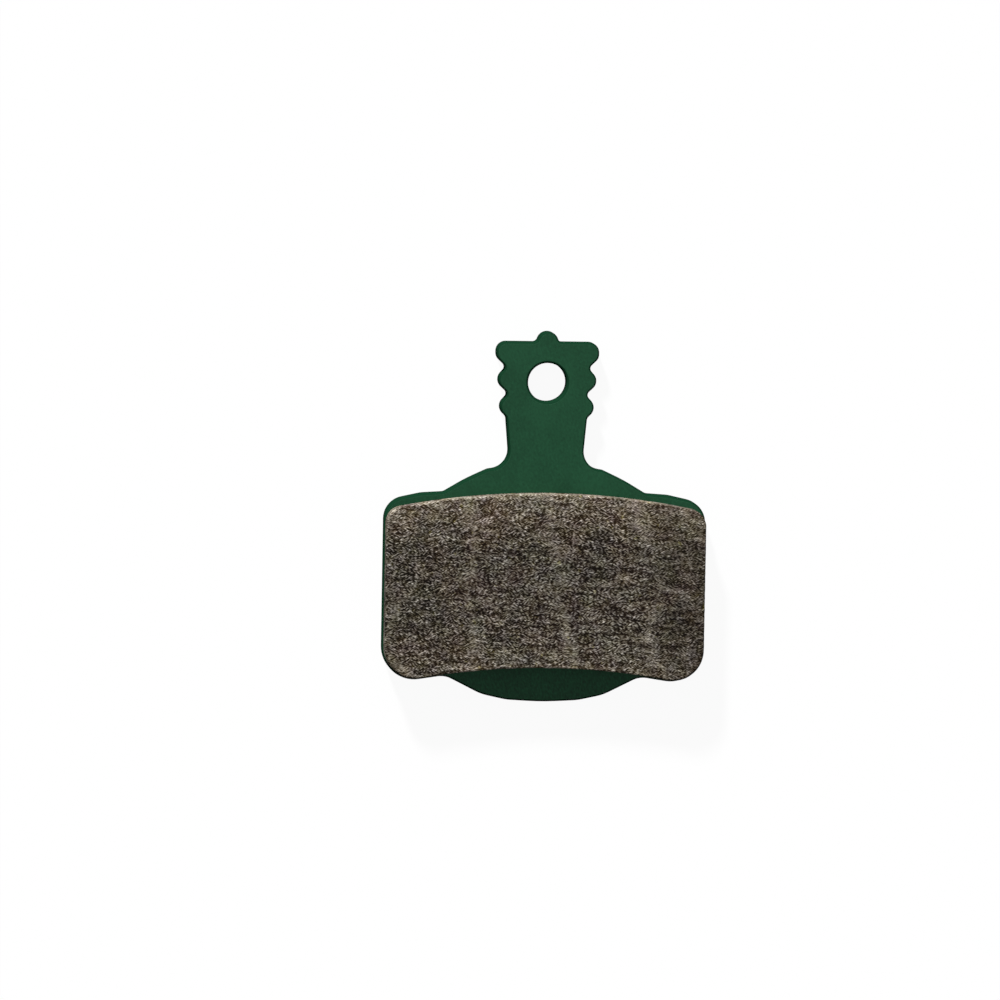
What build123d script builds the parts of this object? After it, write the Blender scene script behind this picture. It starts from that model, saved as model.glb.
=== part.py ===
"""Bicycle disc brake pad: a stamped steel backing plate with a moulded friction block on its front face.

The pad lies on its back. X is across the pad, Y points along the tab, and Z points out of the
friction face. The origin is on the pin's axis, on the back face. Sizes are in millimetres.
"""

import math
import os

from build123d import *

# Backing plate
plate_thickness = 2.0
plate_width = 34.0
front_edge_roll = 0.25
back_edge_break = 0.1

# Pin hole, around the origin
pin_hole_diameter = 4.1
pin_hole_rim = 0.3

# Tab: its top edge above the pin, and its tapered sides, with their half width at the pin
tab_top_height = 4.25
tab_half_width = 4.59
tab_taper_angle = 5.0

# Nub on the tab's top edge
nub_radius = 1.1
nub_root_radius = 0.5

# Top ear: a rounded corner at the end of the top edge, over a straight side
top_ear_half_width = 5.42
top_ear_side = 1.66
top_ear_radius = 1.05
top_ear_foot_radius = 1.0

# Lower ears: a row of rounded teeth down the tapered sides, each with a notch above it
ear_count = 2
ear_pitch = 2.8
ear_first_height = 0.15
ear_stand = 0.98
ear_radius = 1.05
notch_depth = 0.39
notch_radius = 0.47

# Neck: from below the last ear down to the shoulders
neck_top_fall = 1.07
neck_top_radius = 0.6
neck_foot_radius = 2.0

# Body: the upper corners' drop below the pin, and the height between upper and lower corners
body_drop = 12.72
body_height = 19.38

# Shoulders: a crowned slope from the neck out to the wings, with heights above the upper corners
shoulder_root_rise = 3.45
shoulder_root_flare = 2.3
shoulder_root_lift = 0.36
shoulder_root_radius = 0.8
shoulder_crown = 0.15
shoulder_crown_radius = 18.0

# Wings: the body's top edge on each side, out to its corner
wing_length = 6.28
wing_root_rise = 1.01
wing_root_radius = 0.8
wing_bend_inset = 3.9
wing_bend_rise = 0.86
wing_bend_radius = 3.2
wing_corner_radius = 2.4

# Lobes: the body's lower corners, with the notch between each of them and the belly
lobe_length = 6.67
lobe_root_rise = 1.02
lobe_root_radius = 2.4
lobe_corner_radius = 3.4

# Belly: the rounded apron below the lobes, with heights above its lowest point
belly_depth = 1.7
belly_bottom_radius = 29.0
belly_crown_half_width = 3.79
belly_crown_rise = 0.2
belly_crown_radius = 6.3
belly_flank_half_width = 6.47
belly_flank_rise = 0.78
belly_flank_radius = 5.3

# Friction block: a band between two arcs, the upper one along the rim of the rotor that it grips
friction_thickness = 2.0
friction_side_margin = 0.1
friction_top_rise = 1.07
friction_top_radius = 80.0
friction_top_corner = 1.8
friction_bottom_rise = 2.1
friction_bottom_radius = 72.0
friction_bottom_corner = 3.2
friction_edge_chamfer = 0.1


def flank(height):
    """Half width of the tab's tapered side at a height above the pin."""
    return tab_half_width + height * math.tan(math.radians(tab_taper_angle))


# Heights and half widths that follow from the sizes above
side = plate_width / 2
upper_corner = -body_drop
lower_corner = upper_corner - body_height
belly_bottom = lower_corner - belly_depth
shoulder_root = upper_corner + shoulder_root_rise
neck_foot = shoulder_root + shoulder_root_lift
shoulder_root_half_width = flank(neck_foot) + shoulder_root_flare
wing_root = upper_corner + wing_root_rise
wing_root_half_width = side - wing_length
crown_half_width = (shoulder_root_half_width + wing_root_half_width) / 2
crown_height = (shoulder_root + wing_root) / 2 + shoulder_crown
friction_top = upper_corner + friction_top_rise
friction_bottom = lower_corner + friction_bottom_rise

# Corners of the plate's right half, from the top edge down: half width, height and radius
corners = [
    (top_ear_half_width, tab_top_height, top_ear_radius),
    (top_ear_half_width, tab_top_height - top_ear_side, top_ear_foot_radius),
]
for ear in range(ear_count):
    tip = ear_first_height - ear * ear_pitch
    notch = tip + ear_pitch / 2
    corners.append((flank(notch) - notch_depth, notch, notch_radius))
    corners.append((flank(tip) + ear_stand, tip, ear_radius))
neck_top = tip - neck_top_fall
corners += [
    (flank(neck_top), neck_top, neck_top_radius),
    (flank(neck_foot), neck_foot, neck_foot_radius),
    (shoulder_root_half_width, shoulder_root, shoulder_root_radius),
    (crown_half_width, crown_height, shoulder_crown_radius),
    (wing_root_half_width, wing_root, wing_root_radius),
    (side - wing_bend_inset, upper_corner + wing_bend_rise, wing_bend_radius),
    (side, upper_corner, wing_corner_radius),
    (side, lower_corner, lobe_corner_radius),
    (side - lobe_length, lower_corner + lobe_root_rise, lobe_root_radius),
    (belly_flank_half_width, belly_bottom + belly_flank_rise, belly_flank_radius),
    (belly_crown_half_width, belly_bottom + belly_crown_rise, belly_crown_radius),
]
mirrored = [(-x, y, radius) for x, y, radius in reversed(corners)]
outline = corners + [(0, belly_bottom, belly_bottom_radius)] + mirrored
outline_points = [(x, y) for x, y, radius in outline]
outline_radii = [radius for x, y, radius in outline]

# Backing plate: stamped outline, rolled over on the front and broken on the back
with BuildPart() as backing_plate:
    with BuildSketch() as plate_profile:
        with BuildLine():
            FilletPolyline(outline_points, radius=outline_radii, close=True)
        make_face()
        with Locations((0, tab_top_height)):
            Circle(nub_radius)
        nub_roots = plate_profile.vertices().filter_by_position(Axis.X, -nub_radius, nub_radius)
        fillet(nub_roots.sort_by(Axis.Y)[-2:], nub_root_radius)
    extrude(amount=plate_thickness)
    fillet(faces().sort_by(Axis.Z)[-1].edges(), front_edge_roll)
    chamfer(faces().sort_by(Axis.Z)[0].edges(), back_edge_break)
    Hole(pin_hole_diameter / 2)
    fillet(faces().sort_by(Axis.Z)[-1].inner_wires().edges(), pin_hole_rim)

# Friction block: a ring cut to the width of the plate less its margins, standing on the front face
with BuildPart() as friction_block:
    with BuildSketch(Plane.XY.offset(plate_thickness)) as friction_profile:
        with Locations((0, friction_top - friction_top_radius)):
            Circle(friction_top_radius)
        with Locations((0, friction_bottom - friction_bottom_radius)):
            Circle(friction_bottom_radius, mode=Mode.SUBTRACT)
        with Locations((0, (friction_top + friction_bottom) / 2)):
            Rectangle(2 * (side - friction_side_margin), 2 * body_height, mode=Mode.INTERSECT)
        fillet(friction_profile.vertices().group_by(Axis.Y)[-1], friction_top_corner)
        fillet(friction_profile.vertices().group_by(Axis.Y)[0], friction_bottom_corner)
    extrude(amount=friction_thickness)
    chamfer(faces().sort_by(Axis.Z)[-1].edges(), friction_edge_chamfer)

backing_plate.part.label = "backing_plate"
friction_block.part.label = "friction_block"

os.makedirs("parts", exist_ok=True)
export_step(backing_plate.part, "parts/backing_plate.step")
export_step(friction_block.part, "parts/friction_block.step")
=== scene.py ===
"""Dresses the bicycle disc brake pad: a powder coat on its backing plate and a granular friction block.

Everything is in metres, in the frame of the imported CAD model. The pad lies on its back on a pale
floor, and the camera looks down on it from a little to the left and towards the tab.
"""

import math

import bpy
import numpy as np
from bpy.props import FloatProperty, FloatVectorProperty, PointerProperty
from mathutils import Matrix, Vector
from mathutils.geometry import delaunay_2d_cdt


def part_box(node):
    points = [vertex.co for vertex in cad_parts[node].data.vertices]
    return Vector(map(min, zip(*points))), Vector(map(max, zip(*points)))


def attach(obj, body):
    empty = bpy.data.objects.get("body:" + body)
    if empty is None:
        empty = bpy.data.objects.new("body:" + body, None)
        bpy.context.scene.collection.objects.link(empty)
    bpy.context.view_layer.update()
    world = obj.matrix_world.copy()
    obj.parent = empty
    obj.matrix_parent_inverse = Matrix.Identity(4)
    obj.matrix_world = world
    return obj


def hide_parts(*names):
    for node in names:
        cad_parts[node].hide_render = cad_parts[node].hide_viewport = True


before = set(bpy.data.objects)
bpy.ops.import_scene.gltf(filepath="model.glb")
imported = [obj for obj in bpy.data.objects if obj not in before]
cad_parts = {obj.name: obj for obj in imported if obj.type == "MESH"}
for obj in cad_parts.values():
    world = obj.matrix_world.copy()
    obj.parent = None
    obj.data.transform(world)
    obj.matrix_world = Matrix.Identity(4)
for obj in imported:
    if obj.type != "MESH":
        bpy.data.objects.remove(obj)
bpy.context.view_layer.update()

bl_info = {
    "name": "Brake Pad Finish",
    "version": (1, 0, 0),
    "blender": (4, 5, 0),
    "location": "View3D > Sidebar > Brake Pad",
    "description": "Coats the backing plate, moulds the friction block and sets the studio",
    "category": "Object",
}

MM = 0.001

# The two pieces, each as its lowest and its highest corner
PLATE_LOW, PLATE_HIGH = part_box("backing_plate")
BLOCK_LOW, BLOCK_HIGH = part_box("friction_block")

# The block's arcs: their mean radius, the lower one's crest, and the distance from there to the lobes
ARC_RADIUS = 76.0 * MM
ARC_LOW = -30.0 * MM
LOBE_REACH = 10.0 * MM


# Settings


def length(name, description, default):
    """A size in metres that a user may change."""
    return FloatProperty(
        name=name, description=description, default=default, min=0.0, precision=6, unit="LENGTH"
    )


def share(name, description, default):
    """A share from 0 to 1."""
    return FloatProperty(
        name=name, description=description, default=default, min=0.0, max=1.0, subtype="FACTOR"
    )


def angle(name, description, degrees):
    """An angle, kept in radians and given in degrees."""
    return FloatProperty(
        name=name, description=description, default=math.radians(degrees), subtype="ANGLE"
    )


def number(name, description, default, subtype="NONE", unit="NONE"):
    """A plain number, with a subtype or a unit where one fits."""
    return FloatProperty(
        name=name, description=description, default=default, subtype=subtype, unit=unit
    )


def colour(name, description, default):
    """A linear colour."""
    return FloatVectorProperty(
        name=name, description=description, default=default, size=3, min=0.0, max=1.0, subtype="COLOR"
    )


class CoatSettings(bpy.types.PropertyGroup):
    """The powder coat on the backing plate."""

    coat: colour("Coat", "Colour of the powder coat", (0.0083, 0.0450, 0.0205))
    coat_thin: colour("Thin coat", "Colour where the coat lies thinner", (0.0112, 0.0592, 0.0272))
    # Painted shade: the stamped edges and the pin hole's rim take this colour, darker than the face
    edge_painted_shade: colour("Edge coat", "Colour of the coat on the stamped edge", (0.0061, 0.0333, 0.0152))
    roughness: share("Roughness", "Roughness of the coat's sheen on the flat faces", 0.46)
    cloud_size: length("Cloud size", "Size of the coat's faint clouds", 4.0 * MM)
    speck_size: length("Speck size", "Size of the coat's fine specks", 0.28 * MM)
    grit_size: length("Grit size", "Width of the coat's fine streaks", 0.19 * MM)
    grit: number("Grit", "Contrast of the fine streaks, which are strongest below the block", 1.3)
    # Painted shade: the rolled edge below the block is darkened further
    apron_painted_shade: share("Apron shade", "How much darker the rolled edge below the block is", 0.6)
    peel_size: length("Peel size", "Size of the orange-peel dimples", 0.45 * MM)
    peel_depth: length("Peel depth", "Depth of the orange-peel dimples", 0.004 * MM)


class FrictionSettings(bpy.types.PropertyGroup):
    """The moulded friction compound."""

    compound: colour("Compound", "Middle colour of the compound", (0.0506, 0.0402, 0.0288))
    spacing: length("Mesh spacing", "Distance between the block's mesh points", 0.115 * MM)
    seed: number("Seed", "Picks one of many like surfaces", 3.0)
    lump_size: length("Lump size", "Width of the lumps that the mesh holds", 0.42 * MM)
    lump_depth: length("Lump depth", "Depth of the pits between lumps", 0.02 * MM)
    lump_stretch: number("Lump stretch", "Length of a lump, in widths", 3.2)
    lump_turn: angle("Lump turn", "Turn of a lump from the length of the block", 10.0)
    patch_size: length("Patch size", "Size of a patch of grains that lie one way", 1.0 * MM)
    grain_size: length("Grain size", "Width of a grain", 0.142 * MM)
    grain_depth: length("Grain depth", "Depth of the pits between grains", 0.08 * MM)
    grain_stretch: number("Grain stretch", "Length of a grain, in widths", 2.4)
    grain_turn: angle("Grain turn", "Turn of a grain from the length of the block", 28.0)
    crumb_size: length("Crumb size", "Distance between the round crumbs", 0.19 * MM)
    crumb: number("Crumb", "How much the round crumbs stand out", 0.22)
    mottle_size: length("Mottle size", "Height of the lighter and darker streaks", 0.68 * MM)
    tint_size: length("Tint size", "Size of the tinted patches", 2.5 * MM)
    spot_size: length("Spot size", "Size of the few brassy spots", 0.55 * MM)
    seam_pitch: length("Seam pitch", "Distance between the paler seams of the face", 9.35 * MM)
    seam_width: length("Seam width", "Distance from a seam's middle to where it fades out", 1.0 * MM)
    band_width: length("Band width", "Width of the paler bands along the arcs", 6.5 * MM)
    skin_width: length("Skin width", "Width of the pale skin along the lower arc", 0.8 * MM)
    contrast: number("Contrast", "Contrast between dark binder and pale grains", 6.1)
    lump_contrast: number("Lump contrast", "Contrast between pits and lumps", 2.2)
    mottle_contrast: number("Mottle contrast", "Contrast between the streaks", 1.9)
    seam: number("Seam", "How much paler the seams are", 0.42)
    upper_band: number("Upper band", "How much paler the band along the upper arc is", 0.38)
    lower_band: number("Lower band", "How much paler the band along the lower arc is", 0.17)
    skin: number("Skin", "How much paler the skin along the lower arc is", 0.35)
    ends: number("Ends", "How much darker the two ends of the face are", 0.06)
    # Painted light on the block's edge: a painted highlight on the walls that face the key light, and
    # painted shade on the chamfer under the lobes
    rim_painted_light: number("Rim", "How far the block's pale and dark edges stand out", 0.25)
    hue: number("Hue", "How far the hue wanders", 0.06)


class StageSettings(bpy.types.PropertyGroup):
    """The camera, the lights and the floor."""

    pixels_per_mm: number("Pixels per mm", "Scale of the picture at the front of the plate", 9.5)
    hole_column: number("Hole column", "Picture column of the pin hole's centre", 547.7, subtype="PIXEL")
    hole_row: number("Hole row", "Picture row of the pin hole's centre", 382.6, subtype="PIXEL")
    yaw: angle("Yaw", "How far the camera stands to the left of straight above", 5.5)
    pitch: angle("Pitch", "How far the camera stands towards the tab from straight above", 4.7)
    roll: angle("Roll", "Turn of the pad in the picture, clockwise", 1.03)
    lens: number("Lens", "Focal length in millimetres", 300.0, unit="CAMERA")
    key_height: angle("Key height", "Height of the key light above the floor", 24.0)
    key_turn: angle("Key turn", "Turn of the key light to the left of the tab's direction", 20.0)
    key_spread: angle("Key spread", "Angle that the key light fills, for soft shadows", 6.0)
    key_share: share("Key share", "Share of the light on a level face that the key gives", 0.74)
    floor: colour("Floor", "Colour of the floor as the camera sees it", (1.0, 1.0, 1.0))
    floor_glow: share("Floor glow", "Share of the floor's brightness that no shadow takes away", 0.94)
    floor_bounce: share("Floor bounce", "Share of light that the floor throws back on the pad", 0.12)


class PadSettings(bpy.types.PropertyGroup):
    """All settings of the brake pad."""

    plate: PointerProperty(type=CoatSettings)
    block: PointerProperty(type=FrictionSettings)
    stage: PointerProperty(type=StageSettings)


# Node trees


# Turned patterns see this share of a height, so that they are longer down the walls
DEPTH_SHARE = 0.4

# Soft noise lies around this height
NOISE_MEAN = 0.5

# Places of the Mix node's colour sockets, which share their names with its other sockets
MIX_A, MIX_B, MIX_RESULT = 6, 7, 2


class Socket:
    """An output socket that takes part in Python expressions: each operator adds a Math node."""

    def __init__(self, graph, socket):
        self.graph = graph
        self.socket = socket

    def maths(self, operation, *values):
        """A Math node of this operation on the values, which may be sockets or numbers."""
        sockets = dict(enumerate(values))
        return self.graph.add("ShaderNodeMath", {"operation": operation}, sockets)

    def __add__(self, other):
        return self.maths("ADD", self, other)

    def __radd__(self, other):
        return self.maths("ADD", other, self)

    def __sub__(self, other):
        return self.maths("SUBTRACT", self, other)

    def __rsub__(self, other):
        return self.maths("SUBTRACT", other, self)

    def __mul__(self, other):
        return self.maths("MULTIPLY", self, other)

    def __rmul__(self, other):
        return self.maths("MULTIPLY", other, self)

    def __truediv__(self, other):
        return self.maths("DIVIDE", self, other)

    def __rtruediv__(self, other):
        return self.maths("DIVIDE", other, self)

    def at_least(self, other):
        """The larger of two values."""
        return self.maths("MAXIMUM", self, other)

    def size(self):
        """The value without its sign."""
        return self.maths("ABSOLUTE", self)

    def to_nearest(self, pitch):
        """The distance to the nearest whole multiple of the pitch."""
        return self.maths("PINGPONG", self, pitch / 2)

    def ramp(self, low, high):
        """Rises smoothly from 0 at low to 1 at high."""
        settings = {"interpolation_type": "SMOOTHSTEP"}
        sockets = {"Value": self, "From Min": low, "From Max": high}
        return self.graph.add("ShaderNodeMapRange", settings, sockets)


class Graph:
    """A node tree that is being built."""

    def __init__(self, tree):
        self.tree = tree
        tree.nodes.clear()

    def add(self, kind, settings=None, sockets=None, output=0):
        """Adds a node, sets its settings, gives each socket a value or a link, and returns an output."""
        node = self.tree.nodes.new(kind)
        for name, value in (settings or {}).items():
            setattr(node, name, value)
        for name, value in (sockets or {}).items():
            if isinstance(value, Socket):
                self.tree.links.new(value.socket, node.inputs[name])
            else:
                node.inputs[name].default_value = value
        return Socket(self, node.outputs[output]) if len(node.outputs) else node

    def axis(self, position, name):
        """One coordinate of the positions: X, Y or Z."""
        return self.add("ShaderNodeSeparateXYZ", {}, {"Vector": position}, name)

    def noise(self, position, size, seed=0.0, detail=1.0):
        """Soft noise from about 0 to 1 with blobs of this size, which the seed picks."""
        sockets = {"Vector": position, "W": seed * size, "Scale": 1 / size, "Detail": detail}
        return self.add("ShaderNodeTexNoise", {"noise_dimensions": "4D"}, sockets)

    def mix(self, factor, a, b):
        """A colour that goes from a to b as the factor goes from 0 to 1."""
        sockets = {"Factor": factor, MIX_A: opaque(a), MIX_B: opaque(b)}
        return self.add("ShaderNodeMix", {"data_type": "RGBA"}, sockets, MIX_RESULT)

    def scaled(self, vector, factor):
        """A vector or colour times a number."""
        sockets = {0: vector, "Scale": factor}
        return self.add("ShaderNodeVectorMath", {"operation": "SCALE"}, sockets)

    def turned(self, position, turn, stretch):
        """Positions turned in the plane of the plate, on which a pattern is stretched along its own X."""
        sockets = {"Vector": position, "Angle": turn}
        turned = self.add("ShaderNodeVectorRotate", {"rotation_type": "Z_AXIS"}, sockets)
        squeeze = {0: turned, 1: (1 / stretch, 1.0, DEPTH_SHARE)}
        return self.add("ShaderNodeVectorMath", {"operation": "MULTIPLY"}, squeeze)

    def bump(self, height, depth):
        """A normal that follows heights from 0 to 1, which stand for this depth."""
        sockets = {"Strength": 1.0, "Distance": depth, "Height": height}
        return self.add("ShaderNodeBump", {}, sockets)


def opaque(value):
    """A colour with its alpha, or a socket as it is."""
    return value if isinstance(value, Socket) else (*value, 1.0)


def new_material(name):
    """A material with an empty node tree, and its graph."""
    material = bpy.data.materials.new(name)
    material.use_nodes = True
    return material, Graph(material.node_tree)


def object_position(graph):
    """Positions in the frame of the CAD model."""
    return graph.add("ShaderNodeTexCoord", output="Object")


# Backing plate


# Depths over which a flat face gives way to the edge, and the rolled edge, where painted shade is deepest
# below the block, to the wall below it
FLAT_DEPTH = (0.001 * MM, 0.02 * MM)
ROLL_DEPTH = (0.25 * MM, 0.4 * MM)

# Clouds of the coat: how fine they are, and their share against the specks
CLOUD_DETAIL = 3.0
CLOUD_SHARE = 0.6

# Noise heights where the coat is thickest and thinnest
COAT_THICK, COAT_THIN = 0.36, 0.64

# The coat is matte under its weak sheen
MATTE_ROUGHNESS = 0.9
SHEEN_IOR = 1.21

# Fine streaks of the coat: their turn and length, and the share of them that shows above the apron
GRIT_TURN = math.radians(75.0)
GRIT_STRETCH = 2.0
GRIT_ABOVE = 0.4
APRON_FADE = 1.0 * MM


def powder_coat(settings):
    """Satin green powder coat with clouds, specks, grit and an orange peel, without sheen on its edge,
    which painted shade darkens.
    """
    material, graph = new_material("powder_coat")
    position = object_position(graph)
    height = graph.axis(position, "Z")
    near, far = FLAT_DEPTH
    face = height.ramp(PLATE_HIGH.z - far, PLATE_HIGH.z - near)
    back = 1 - height.ramp(PLATE_LOW.z + near, PLATE_LOW.z + far)
    flat = face.at_least(back)

    clouds = graph.noise(position, settings.cloud_size, detail=CLOUD_DETAIL)
    specks = graph.noise(position, settings.speck_size)
    thinness = (CLOUD_SHARE * clouds + (1 - CLOUD_SHARE) * specks).ramp(COAT_THICK, COAT_THIN)
    coat = graph.mix(thinness, settings.coat, settings.coat_thin)

    apron = 1 - graph.axis(position, "Y").ramp(ARC_LOW, ARC_LOW + APRON_FADE)
    grit = graph.noise(graph.turned(position, GRIT_TURN, GRIT_STRETCH), settings.grit_size)
    coat = graph.scaled(coat, 1 + (GRIT_ABOVE + apron) * settings.grit * (grit - NOISE_MEAN))

    # Painted shade: the edge takes the darker edge colour, darker still on the rolled edge below the block
    near, far = ROLL_DEPTH
    roll = height.ramp(PLATE_HIGH.z - far, PLATE_HIGH.z - near)
    edge = graph.scaled(settings.edge_painted_shade, 1 - settings.apron_painted_shade * apron * roll)

    shader = graph.add(
        "ShaderNodeBsdfPrincipled",
        {},
        {
            "Base Color": graph.mix(flat, edge, coat),
            "Roughness": MATTE_ROUGHNESS,
            "Specular IOR Level": 0.0,
            "Coat Weight": flat,
            "Coat Roughness": settings.roughness,
            "Coat IOR": SHEEN_IOR,
            "Normal": graph.bump(graph.noise(position, settings.peel_size), settings.peel_depth),
        },
    )
    graph.add("ShaderNodeOutputMaterial", {}, {"Surface": shader})
    return material


class PAD_OT_coat_plate(bpy.types.Operator):
    """Gives the stamped backing plate its powder coat"""

    bl_idname = "pad.coat_plate"
    bl_label = "Coat Backing Plate"

    def execute(self, context):
        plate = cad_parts["backing_plate"]
        plate.data.materials.clear()
        plate.data.materials.append(powder_coat(context.scene.brake_pad.plate))
        return {"FINISHED"}


# Shape of the friction block


# Points of the CAD solid lie on a level if they are this close to it
LEVEL_TOLERANCE = 0.01 * MM

# Points of the CAD solid are one if they agree to so many decimals of a millimetre
POINT_DECIMALS = 4

# The mesh: passes that even the outline out, rows on the chamfer, and the gap inside the edge, in spacings
SMOOTHING_PASSES = 6
CHAMFER_ROWS = 3
BORDER_GAP = 0.6

# Triangulation of the face: only inside its border, and the millimetres within which two points are one
INSIDE_ONLY = 1
POINT_TOLERANCE = 1e-7

# Painted light on the edges of the block: how deep the painted highlight on the upper one starts and the
# lower one ends, in chamfers, how much paler the lower one is along its arc, and how dark its painted
# shade is under the lobes, with the width over which that fades in
UPPER_EDGE_START = 0.4
LOWER_EDGE_END = 1.1
LOWER_EDGE_PALE = 0.6
LOBE_EDGE_PAINTED_SHADE = 3.0
LOBE_FADE = 1.0 * MM

# Relief: noise heights at the bottom of a pit and the top of a lump, and where it starts above the seat
PIT, LUMP = 0.3, 0.7
SEAT_FADE = 0.25 * MM

# Patches of grains: noise heights between which one way gives place to the other, and each way's shares
PATCH_EDGE = (0.46, 0.54)
LEAST_SHARE, MOST_SHARE = 0.2, 0.8


def seat_loop():
    """The closed edge of the block's seat in the plane of the plate, read from the CAD solid."""
    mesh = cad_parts["friction_block"].data
    points = np.array([vertex.co for vertex in mesh.vertices])
    keys = [tuple(np.round(point[:2] / MM, POINT_DECIMALS)) for point in points]
    seated = points[:, 2] < BLOCK_LOW.z + LEVEL_TOLERANCE
    steps = set()
    for face in mesh.polygons:
        corners = list(face.vertices)
        if all(seated[index] for index in corners):
            for a, b in zip(corners, corners[1:] + corners[:1]):
                steps.add((keys[a], keys[b]))
    follow = {b: a for a, b in steps if (b, a) not in steps}
    start = next(iter(follow))
    loop = [start]
    while follow[loop[-1]] != start:
        loop.append(follow[loop[-1]])
    return np.array(loop + [start]) * MM


def block_outline(spacing):
    """The block's outline in the plane of the plate, with evenly spaced points."""
    loop = seat_loop()
    run = np.concatenate([[0], np.cumsum(np.linalg.norm(np.diff(loop, axis=0), axis=1))])
    places = np.linspace(0, run[-1], round(run[-1] / spacing), endpoint=False)
    outline = np.column_stack([np.interp(places, run, loop[:, axis]) for axis in (0, 1)])
    for _ in range(SMOOTHING_PASSES):
        outline = (np.roll(outline, 1, 0) + 2 * outline + np.roll(outline, -1, 0)) / 4
    return outline


def block_chamfer():
    """Width of the chamfer around the block's face, read from the CAD solid."""
    points = [vertex.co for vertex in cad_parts["friction_block"].data.vertices]
    return BLOCK_HIGH.x - max(point.x for point in points if point.z > BLOCK_HIGH.z - LEVEL_TOLERANCE)


def block_profile(spacing, chamfer):
    """Inset and height of each ring of points, from the seat up the wall and over the chamfer."""
    shoulder = BLOCK_HIGH.z - chamfer
    rows = round((shoulder - BLOCK_LOW.z) / spacing)
    profile = [(0.0, z) for z in np.linspace(BLOCK_LOW.z, shoulder, rows + 1)]
    for row in range(1, CHAMFER_ROWS + 1):
        rise = chamfer * row / CHAMFER_ROWS
        profile.append((rise, shoulder + rise))
    return profile


def inside(points, outline):
    """Which of the points lie inside the closed outline."""
    result = np.zeros(len(points), bool)
    for (ax, ay), (bx, by) in zip(outline, np.roll(outline, -1, 0)):
        if ay != by:
            crosses = (ay > points[:, 1]) != (by > points[:, 1])
            result ^= crosses & (points[:, 0] < ax + (points[:, 1] - ay) * (bx - ax) / (by - ay))
    return result


def face_lattice(border, edge, spacing):
    """Points of an even triangular lattice over the edge's box, as far as they lie inside the border."""
    low, high = edge.min(0), edge.max(0)
    rows = []
    for row, y in enumerate(np.arange(low[1], high[1], spacing * math.sqrt(3) / 2)):
        x = np.arange(low[0] + (row % 2) * spacing / 2, high[0], spacing)
        rows.append(np.column_stack([x, np.full(len(x), y)]))
    lattice = np.concatenate(rows)
    return lattice[inside(lattice, border)]


def edge_painted_light(outline, outward, profile, chamfer):
    """Painted light on the rings' points: a painted highlight on the walls that face the key light, paler
    along the lower arc, and painted shade on the chamfer under the lobes.
    """
    up = outward[:, 1]
    lobe = np.clip((np.abs(outline[:, 0]) - LOBE_REACH) / LOBE_FADE, 0, 1)
    bevel = LOWER_EDGE_PALE * (1 - lobe) + LOBE_EDGE_PAINTED_SHADE * up * lobe
    rings = []
    for _, z in profile:
        upper = up * (z < BLOCK_HIGH.z - UPPER_EDGE_START * chamfer)
        lower = bevel * (z > BLOCK_HIGH.z - LOWER_EDGE_END * chamfer)
        rings.append(np.where(up > 0, upper, lower))
    return np.concatenate(rings)


def ring_faces(count, rings):
    """Four-sided faces between rings of points, with so many points in each."""
    faces = []
    for ring in range(rings - 1):
        for place in range(count):
            a = ring * count + place
            b = ring * count + (place + 1) % count
            faces.append((a, b, b + count, a + count))
    return faces


def face_triangles(edge, lattice):
    """Triangles of the block's face, over the points of its edge and then those of the lattice."""
    points = [Vector(point) for point in np.concatenate([edge, lattice]) / MM]
    border = list(range(len(edge)))
    _, _, triangles, sources, _, _ = delaunay_2d_cdt(points, [], [border], INSIDE_ONLY, POINT_TOLERANCE)
    return [[sources[index][0] for index in triangle] for triangle in triangles]


def block_blank(spacing):
    """The smooth block as a fine even mesh: walls and chamfer in rings, and a face of small triangles."""
    outline = block_outline(spacing)
    along = np.roll(outline, -1, 0) - np.roll(outline, 1, 0)
    outward = np.column_stack([along[:, 1], -along[:, 0]])
    outward /= np.linalg.norm(outward, axis=1)[:, None]
    chamfer = block_chamfer()
    profile = block_profile(spacing, chamfer)
    count = len(outline)
    points = []
    for inset, z in profile:
        points.append(np.column_stack([outline - outward * inset, np.full(count, z)]))
    faces = ring_faces(count, len(profile))

    edge = outline - outward * chamfer
    lattice = face_lattice(edge - outward * BORDER_GAP * spacing, edge, spacing)
    points.append(np.column_stack([lattice, np.full(len(lattice), BLOCK_HIGH.z)]))
    first = (len(profile) - 1) * count
    for triangle in face_triangles(edge, lattice):
        faces.append(tuple(first + index for index in triangle))
    seat = tuple(reversed(range(count)))
    faces.append(seat)

    mesh = bpy.data.meshes.new("friction_block_blank")
    mesh.from_pydata(np.concatenate(points).tolist(), [], faces)
    # Painted highlight and painted shade along the edge, kept on the mesh for the compound
    painted_light = edge_painted_light(outline, outward, profile, chamfer)
    rim_painted_light = mesh.attributes.new("rim_painted_light", "FLOAT", "POINT")
    rim_painted_light.data.foreach_set("value", np.concatenate([painted_light, np.zeros(len(lattice))]))
    mesh.update()
    mesh.shade_smooth()
    return mesh


def from_face(graph, position):
    """Positions measured from the height of the block's face."""
    sockets = {0: position, 1: (0.0, 0.0, BLOCK_HIGH.z)}
    return graph.add("ShaderNodeVectorMath", {"operation": "SUBTRACT"}, sockets)


def grain(graph, position, size, patch, stretch, turn, seed):
    """Height of grains of this width, around 0.5, which lie along one of two diagonals in each patch."""
    position = from_face(graph, position)
    patches = graph.noise(position, patch, seed).ramp(*PATCH_EDGE)
    one, other = (
        graph.noise(graph.turned(position, way * turn, stretch), size, seed, detail=0.0) for way in (1, -1)
    )
    return one + (LEAST_SHARE + (MOST_SHARE - LEAST_SHARE) * patches) * (other - one)


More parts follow.
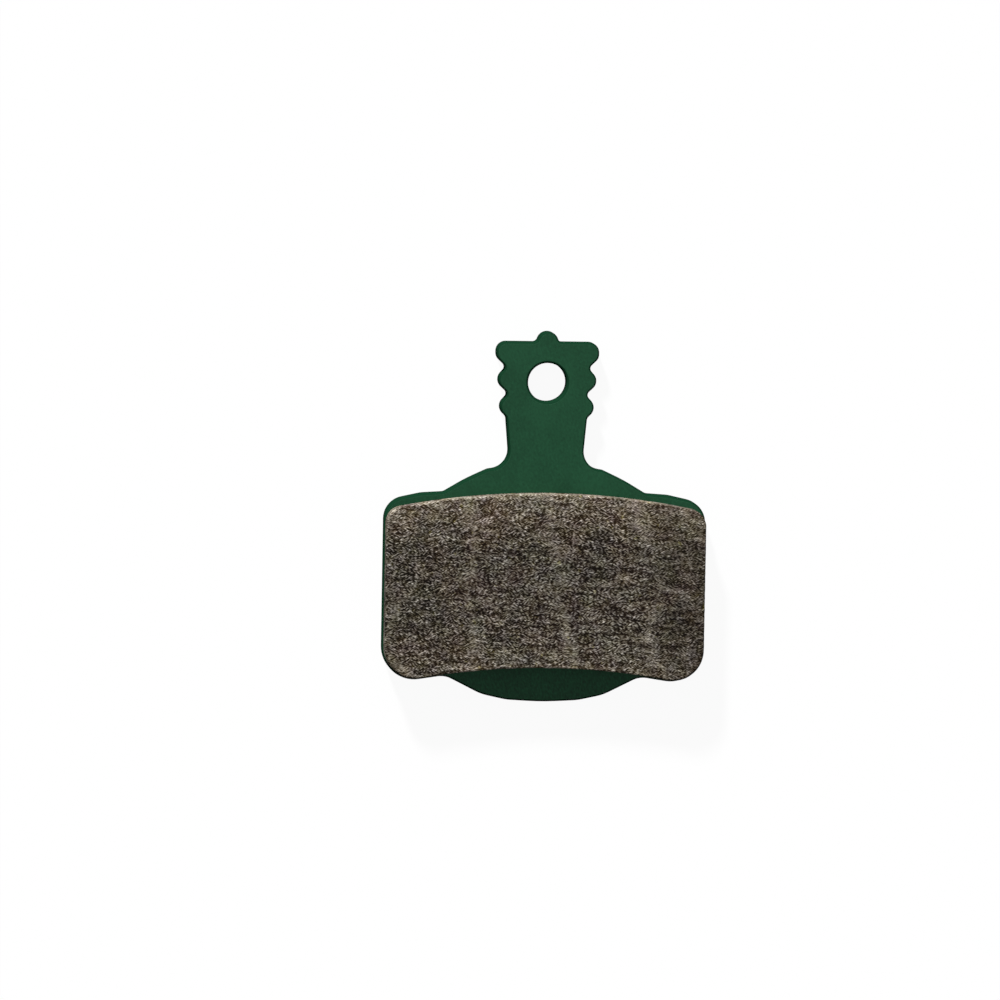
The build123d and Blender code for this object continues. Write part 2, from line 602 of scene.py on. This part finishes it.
def grain_relief(stretch, turn):
    """Geometry Nodes tree that sinks the pits between lumps into the block's smooth surface."""
    tree = bpy.data.node_groups.new("grain_relief", "GeometryNodeTree")
    names = {}
    for name, kind in (
        ("Geometry", "NodeSocketGeometry"),
        ("Lump Size", "NodeSocketFloat"),
        ("Lump Depth", "NodeSocketFloat"),
        ("Patch Size", "NodeSocketFloat"),
        ("Seat Height", "NodeSocketFloat"),
        ("Seed", "NodeSocketFloat"),
        ("Material", "NodeSocketMaterial"),
    ):
        names[name] = tree.interface.new_socket(name, in_out="INPUT", socket_type=kind).identifier
    tree.interface.new_socket("Geometry", in_out="OUTPUT", socket_type="NodeSocketGeometry")
    graph = Graph(tree)
    given = {name: graph.add("NodeGroupInput", output=name) for name in names}
    position = graph.add("GeometryNodeInputPosition")
    above = (graph.axis(position, "Z") - given["Seat Height"]).ramp(0.0, SEAT_FADE)
    size, patch, seed = given["Lump Size"], given["Patch Size"], given["Seed"]
    lumps = grain(graph, position, size, patch, stretch, turn, seed)
    depth = (lumps.ramp(PIT, LUMP) - 1) * given["Lump Depth"] * above
    offset = graph.scaled(graph.add("GeometryNodeInputNormal"), depth)
    sunk = {"Geometry": given["Geometry"], "Offset": offset}
    moved = graph.add("GeometryNodeSetPosition", {}, sunk)
    real = graph.add("GeometryNodeRealizeInstances", {}, {"Geometry": moved})
    finish = {"Geometry": real, "Material": given["Material"]}
    dressed = graph.add("GeometryNodeSetMaterial", {}, finish)
    graph.add("NodeGroupOutput", {}, {"Geometry": dressed})
    return tree, names


# Finish of the friction block


# Colours are worked out on the picture's own scale, from dark to light, and then made linear
GAMMA = 2.2

# Ends of the face, in half lengths of the block, from a middle that lies a little to the left
END_MIDDLE = -2.0 * MM
END_START, END_FULL = 0.6, 1.1

# The skin along the lower arc fades out between these shares of the way to the lobes
SKIN_FADE = (0.6, 1.1)

# Seams: how far they wander, how long their waves are, how they lean, and where the middle one stands
SEAM_WANDER = 0.8
SEAM_WAVE = 0.5
SEAM_LEAN = 0.15
SEAM_MIDDLE = 1.6 * MM

# Level seams against upright ones: how strong and how wide they are
LEVEL_SEAM = 0.5
LEVEL_SEAM_WIDTH = 0.6

# Round crumbs: their turn and length, and the mean distance from the middle of one
CRUMB_TURN = math.radians(20.0)
CRUMB_STRETCH = 1.4
CRUMB_MEAN = 0.55

# Lighter and darker streaks: their turn and length
MOTTLE_TURN = math.radians(6.0)
MOTTLE_STRETCH = 4.5

# Contrast on the walls against the face, and the depths between which it changes
WALL_CONTRAST = 0.6
WALL_DEPTH = (0.08 * MM, 0.2 * MM)

# How much calmer seams and the right end are, and where that end starts and is full, in half lengths
SEAM_CALM = 0.4
END_CALM = 0.3
CALM_START, CALM_FULL = 0.6, 0.75

# The darkest binder, and how much the painted light on the edges breaks up into lumps
DARKEST = 0.2
EDGE_BREAK = 3.0

# Tints: size and strength of brassy patches against rusty ones, and how fine both are
BRASS_SIZE = 0.5
BRASS_STRENGTH = 1.5
TINT_DETAIL = 4.0

# Noise heights over which a brassy spot appears, and how much warmer pale tones are
SPOT_EDGE = (0.72, 0.82)
PALE_WARMTH = 0.45

# Steps from the seed of the grains, so that no pattern follows another
SPOT_SEED, RUST_SEED, BRASS_SEED, SEAM_SEED = 1, 2, 3, 4

# Range of the grains' heights
GRAIN_RANGE = 0.5

# Roughness and gloss of the binder, and how much smoother the grains are as they get paler than it
BINDER_ROUGHNESS = 0.9
BINDER_GLOSS = 0.1
GRAIN_POLISH = 0.2
GRAIN_TONES = (1.0, 1.6)


def arc_level(graph, position):
    """Height on the face, straightened so that the block's arcs are level."""
    x = graph.axis(position, "X")
    return graph.axis(position, "Y") + x * x / (2 * ARC_RADIUS)


def arc_and_end_tone(graph, position, settings):
    """Shade of the face as a factor: paler towards its two arcs, and darker towards its two ends."""
    x = graph.axis(position, "X")
    level = arc_level(graph, position)
    upper = level.ramp(BLOCK_HIGH.y - settings.band_width, BLOCK_HIGH.y)
    lower = 1 - level.ramp(ARC_LOW, ARC_LOW + settings.band_width)
    outer = x.size().ramp(*(part * LOBE_REACH for part in SKIN_FADE))
    skin = 1 - level.ramp(ARC_LOW, ARC_LOW + settings.skin_width).at_least(outer)
    ends = (x - END_MIDDLE).size().ramp(END_START * BLOCK_HIGH.x, END_FULL * BLOCK_HIGH.x)
    pale = 1 + settings.upper_band * upper + settings.lower_band * lower + settings.skin * skin
    return pale * (1 - settings.ends * ends)


def seams(graph, position, pitch, width, seed):
    """1 on the wavy seams between the fields that the compound was pressed in, and 0 beside them."""
    middle = (BLOCK_LOW.y + BLOCK_HIGH.y) / 2
    wander = SEAM_WANDER * pitch * (graph.noise(position, SEAM_WAVE * pitch, seed) - NOISE_MEAN)
    lean = SEAM_LEAN * (graph.axis(position, "Y") - middle)
    columns = (graph.axis(position, "X") + lean + wander - SEAM_MIDDLE).to_nearest(pitch)
    rows = (arc_level(graph, position) - middle + wander).to_nearest(pitch)
    level_seam = LEVEL_SEAM - LEVEL_SEAM * rows.ramp(0.0, LEVEL_SEAM_WIDTH * width)
    return (1 - columns.ramp(0.0, width)).at_least(level_seam)


def compound_heights(graph, position, settings):
    """Heights of the fine grains with their round crumbs, and of the lumps, both around 0.5."""
    grains, lumps = (
        grain(graph, position, size, settings.patch_size, stretch, turn, settings.seed)
        for size, stretch, turn in (
            (settings.grain_size, settings.grain_stretch, settings.grain_turn),
            (settings.lump_size, settings.lump_stretch, settings.lump_turn),
        )
    )
    place = graph.turned(from_face(graph, position), CRUMB_TURN, CRUMB_STRETCH)
    crumbs = graph.add("ShaderNodeTexVoronoi", {}, {"Vector": place, "Scale": 1 / settings.crumb_size})
    return grains + settings.crumb * (CRUMB_MEAN - crumbs), lumps


def compound_tones(graph, position, settings):
    """The broad tones of seams and streaks around 0, and how far the grains stand out between them."""
    seam_seed = settings.seed + SEAM_SEED
    seam = seams(graph, position, settings.seam_pitch, settings.seam_width, seam_seed)
    streaks = graph.turned(from_face(graph, position), MOTTLE_TURN, MOTTLE_STRETCH)
    mottle = graph.noise(streaks, settings.mottle_size, settings.seed)
    tones = settings.seam * seam + settings.mottle_contrast * (mottle - NOISE_MEAN)
    near, far = WALL_DEPTH
    face = graph.axis(position, "Z").ramp(BLOCK_HIGH.z - far, BLOCK_HIGH.z - near)
    end = graph.axis(position, "X").ramp(CALM_START * BLOCK_HIGH.x, CALM_FULL * BLOCK_HIGH.x)
    calm = (SEAM_CALM * seam).at_least(END_CALM * end)
    return tones, (WALL_CONTRAST + (1 - WALL_CONTRAST) * face) * (1 - calm)


def compound_colour(graph, position, settings, light, shade, tones):
    """Colour of the compound at this lightness, with rusty and brassy tints."""
    red_root, green_root, blue_root = (channel ** (1 / GAMMA) for channel in settings.compound)
    seed, size = settings.seed, settings.tint_size
    rust = graph.noise(position, size, seed + RUST_SEED, TINT_DETAIL) - NOISE_MEAN
    brass = graph.noise(position, BRASS_SIZE * size, seed + BRASS_SEED, TINT_DETAIL) - NOISE_MEAN
    spots = graph.noise(position, settings.spot_size, seed + SPOT_SEED, detail=0.0).ramp(*SPOT_EDGE)
    green = green_root * light
    red = green + shade * (red_root - green_root + settings.hue * rust)
    warmth = (green_root - blue_root) * (1 + PALE_WARMTH * tones)
    blue = green - shade * (warmth + settings.hue * (BRASS_STRENGTH * brass + spots))
    shown = graph.add("ShaderNodeCombineColor", {}, {"Red": red, "Green": green, "Blue": blue})
    return graph.add("ShaderNodeGamma", {}, {"Color": shown, "Gamma": GAMMA})


def friction_compound(settings):
    """Matte brown-grey compound of dark binder and pale grains, with seams, tints, and painted light on
    its edge.
    """
    material, graph = new_material("friction_compound")
    position = object_position(graph)
    grains, lumps = compound_heights(graph, position, settings)
    tones, clarity = compound_tones(graph, position, settings)
    lump_relief = lumps - NOISE_MEAN
    relief = settings.contrast * (grains - NOISE_MEAN) + settings.lump_contrast * lump_relief
    body = 1 + tones + clarity * relief
    shade = arc_and_end_tone(graph, position, settings)
    # Painted light on the edge, broken up by the lumps: a painted highlight where the walls face the key
    # light, painted shade under the lobes
    rim_painted_light = graph.add("ShaderNodeAttribute", {"attribute_name": "rim_painted_light"}, output="Fac")
    edge = settings.rim_painted_light * rim_painted_light * (1 + EDGE_BREAK * lump_relief)
    light = body.at_least(DARKEST) + shade - 1 + edge
    shader = graph.add(
        "ShaderNodeBsdfPrincipled",
        {},
        {
            "Base Color": compound_colour(graph, position, settings, light, shade, tones),
            "Roughness": BINDER_ROUGHNESS - GRAIN_POLISH * body.ramp(*GRAIN_TONES),
            "Specular IOR Level": BINDER_GLOSS,
            "Normal": graph.bump(grains / GRAIN_RANGE, settings.grain_depth),
        },
    )
    graph.add("ShaderNodeOutputMaterial", {}, {"Surface": shader})
    return material


class PAD_OT_mould_block(bpy.types.Operator):
    """Moulds the friction block with its granular surface in place of the plain solid"""

    bl_idname = "pad.mould_block"
    bl_label = "Mould Friction Block"

    def execute(self, context):
        settings = context.scene.brake_pad.block
        blank = bpy.data.objects.new("friction_block_blank", block_blank(settings.spacing))
        context.scene.collection.objects.link(blank)
        tree, names = grain_relief(settings.lump_stretch, settings.lump_turn)
        modifier = blank.modifiers.new("grain", "NODES")
        modifier.node_group = tree
        for name, value in (
            ("Lump Size", settings.lump_size),
            ("Lump Depth", settings.lump_depth),
            ("Patch Size", settings.patch_size),
            ("Seat Height", BLOCK_LOW.z),
            ("Seed", settings.seed),
            ("Material", friction_compound(settings)),
        ):
            modifier[names[name]] = value
        shaped = blank.evaluated_get(context.evaluated_depsgraph_get())
        mesh = bpy.data.meshes.new_from_object(shaped)
        bpy.data.objects.remove(blank)
        mesh.name = "moulded_friction"
        piece = bpy.data.objects.new("moulded_friction", mesh)
        context.scene.collection.objects.link(piece)
        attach(piece, "root")
        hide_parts("friction_block")
        return {"FINISHED"}


# Stage


# The picture's width and height in pixels, and the camera's sensor in millimetres
IMAGE_SIZE = 1000
SENSOR_WIDTH = 36.0

# The floor: how far it reaches each way, and the gap between it and the pad
FLOOR_REACH = 3.0
FLOOR_GAP = 0.02 * MM

WHITE = (1.0, 1.0, 1.0)


def direct_rays(graph):
    """1 for what the camera sees, straight or in a glossy or clear surface, and 0 for other light."""
    seen = graph.add("ShaderNodeLightPath", output="Is Camera Ray")
    for kind in ("Is Glossy Ray", "Is Transmission Ray"):
        seen = seen.at_least(graph.add("ShaderNodeLightPath", output=kind))
    return seen


def floor_finish(settings):
    """Pale floor: bright to the camera, with the pad's shadow, and dim in the light it throws back."""
    material, graph = new_material("pale_floor")
    glow = graph.add("ShaderNodeEmission", {}, {"Color": opaque(settings.floor), "Strength": 1.0})
    pale = graph.add("ShaderNodeBsdfDiffuse", {}, {"Color": opaque(settings.floor)})
    shown = graph.add("ShaderNodeMixShader", {}, {0: settings.floor_glow, 1: pale, 2: glow})
    bounce = [settings.floor_bounce] * 3
    dim = graph.add("ShaderNodeBsdfDiffuse", {}, {"Color": opaque(bounce)})
    surface = graph.add("ShaderNodeMixShader", {}, {0: direct_rays(graph), 1: dim, 2: shown})
    graph.add("ShaderNodeOutputMaterial", {}, {"Surface": surface})
    return material


def add_floor(settings):
    """A wide level floor just under the pad."""
    z = PLATE_LOW.z - FLOOR_GAP
    corners = [(x * FLOOR_REACH, y * FLOOR_REACH, z) for x, y in ((-1, -1), (1, -1), (1, 1), (-1, 1))]
    mesh = bpy.data.meshes.new("floor")
    mesh.from_pydata(corners, [], [(0, 1, 2, 3)])
    mesh.materials.append(floor_finish(settings))
    floor = bpy.data.objects.new("floor", mesh)
    bpy.context.scene.collection.objects.link(floor)


def add_key(settings):
    """A soft key light from beyond the tab."""
    lamp = bpy.data.lights.new("key", "SUN")
    lamp.angle = settings.key_spread
    lamp.energy = settings.key_share * math.pi / math.sin(settings.key_height)
    key = bpy.data.objects.new("key", lamp)
    flat = math.cos(settings.key_height)
    towards = Vector((
        -flat * math.sin(settings.key_turn),
        flat * math.cos(settings.key_turn),
        math.sin(settings.key_height),
    ))
    key.rotation_euler = towards.to_track_quat("Z", "Y").to_euler()
    bpy.context.scene.collection.objects.link(key)


def add_fill(settings):
    """An even fill light from all around, before a background that is white to the camera."""
    world = bpy.data.worlds.new("studio")
    world.use_nodes = True
    graph = Graph(world.node_tree)
    fill, pale = (
        graph.add("ShaderNodeBackground", {}, {"Color": opaque(WHITE), "Strength": strength})
        for strength in (1 - settings.key_share, 1.0)
    )
    surface = graph.add("ShaderNodeMixShader", {}, {0: direct_rays(graph), 1: fill, 2: pale})
    graph.add("ShaderNodeOutputWorld", {}, {"Surface": surface})
    bpy.context.scene.world = world


def add_camera(settings):
    """A camera that puts the pin hole at its place in the picture, at the picture's scale."""
    lens = bpy.data.cameras.new("camera")
    lens.sensor_width = SENSOR_WIDTH
    lens.lens = settings.lens
    camera = bpy.data.objects.new("camera", lens)
    field = IMAGE_SIZE / settings.pixels_per_mm * MM
    distance = field * settings.lens / SENSOR_WIDTH
    back = Vector((-math.tan(settings.yaw), math.tan(settings.pitch), 1.0)).normalized()
    up = Matrix.Rotation(settings.roll, 3, "Z") @ Vector((0.0, 1.0, 0.0))
    right = up.cross(back).normalized()
    up = back.cross(right)
    column = (settings.hole_column - IMAGE_SIZE / 2) / settings.pixels_per_mm * MM
    row = (IMAGE_SIZE / 2 - settings.hole_row) / settings.pixels_per_mm * MM
    hole = Vector((0.0, 0.0, PLATE_HIGH.z))
    target = hole - right * column - up * row
    axes = Matrix((right, up, back)).transposed()
    camera.matrix_world = Matrix.Translation(target + back * distance) @ axes.to_4x4()
    bpy.context.scene.collection.objects.link(camera)
    bpy.context.scene.camera = camera


class PAD_OT_set_stage(bpy.types.Operator):
    """Sets the floor, the lights and the camera"""

    bl_idname = "pad.set_stage"
    bl_label = "Set Stage"

    def execute(self, context):
        settings = context.scene.brake_pad.stage
        context.scene.view_settings.view_transform = "Standard"
        add_floor(settings)
        add_key(settings)
        add_fill(settings)
        add_camera(settings)
        return {"FINISHED"}


# Add-on


class PAD_PT_sidebar(bpy.types.Panel):
    """Lists the steps that dress the pad, with their settings"""

    bl_label = "Brake Pad"
    bl_idname = "PAD_PT_sidebar"
    bl_space_type = "VIEW_3D"
    bl_region_type = "UI"
    bl_category = "Brake Pad"

    def draw(self, context):
        pad = context.scene.brake_pad
        for operator, settings in (
            (PAD_OT_coat_plate, pad.plate),
            (PAD_OT_mould_block, pad.block),
            (PAD_OT_set_stage, pad.stage),
        ):
            box = self.layout.box()
            for name in settings.bl_rna.properties.keys():
                if name not in ("rna_type", "name"):
                    box.prop(settings, name)
            box.operator(operator.bl_idname)


CLASSES = (
    CoatSettings,
    FrictionSettings,
    StageSettings,
    PadSettings,
    PAD_OT_coat_plate,
    PAD_OT_mould_block,
    PAD_OT_set_stage,
    PAD_PT_sidebar,
)


def register():
    for item in CLASSES:
        bpy.utils.register_class(item)
    bpy.types.Scene.brake_pad = PointerProperty(type=PadSettings)


def unregister():
    del bpy.types.Scene.brake_pad
    for item in reversed(CLASSES):
        bpy.utils.unregister_class(item)


def main():
    """Registers the classes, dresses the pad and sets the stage."""
    register()
    bpy.ops.pad.coat_plate()
    bpy.ops.pad.mould_block()
    bpy.ops.pad.set_stage()


if __name__ == "__main__":
    main()
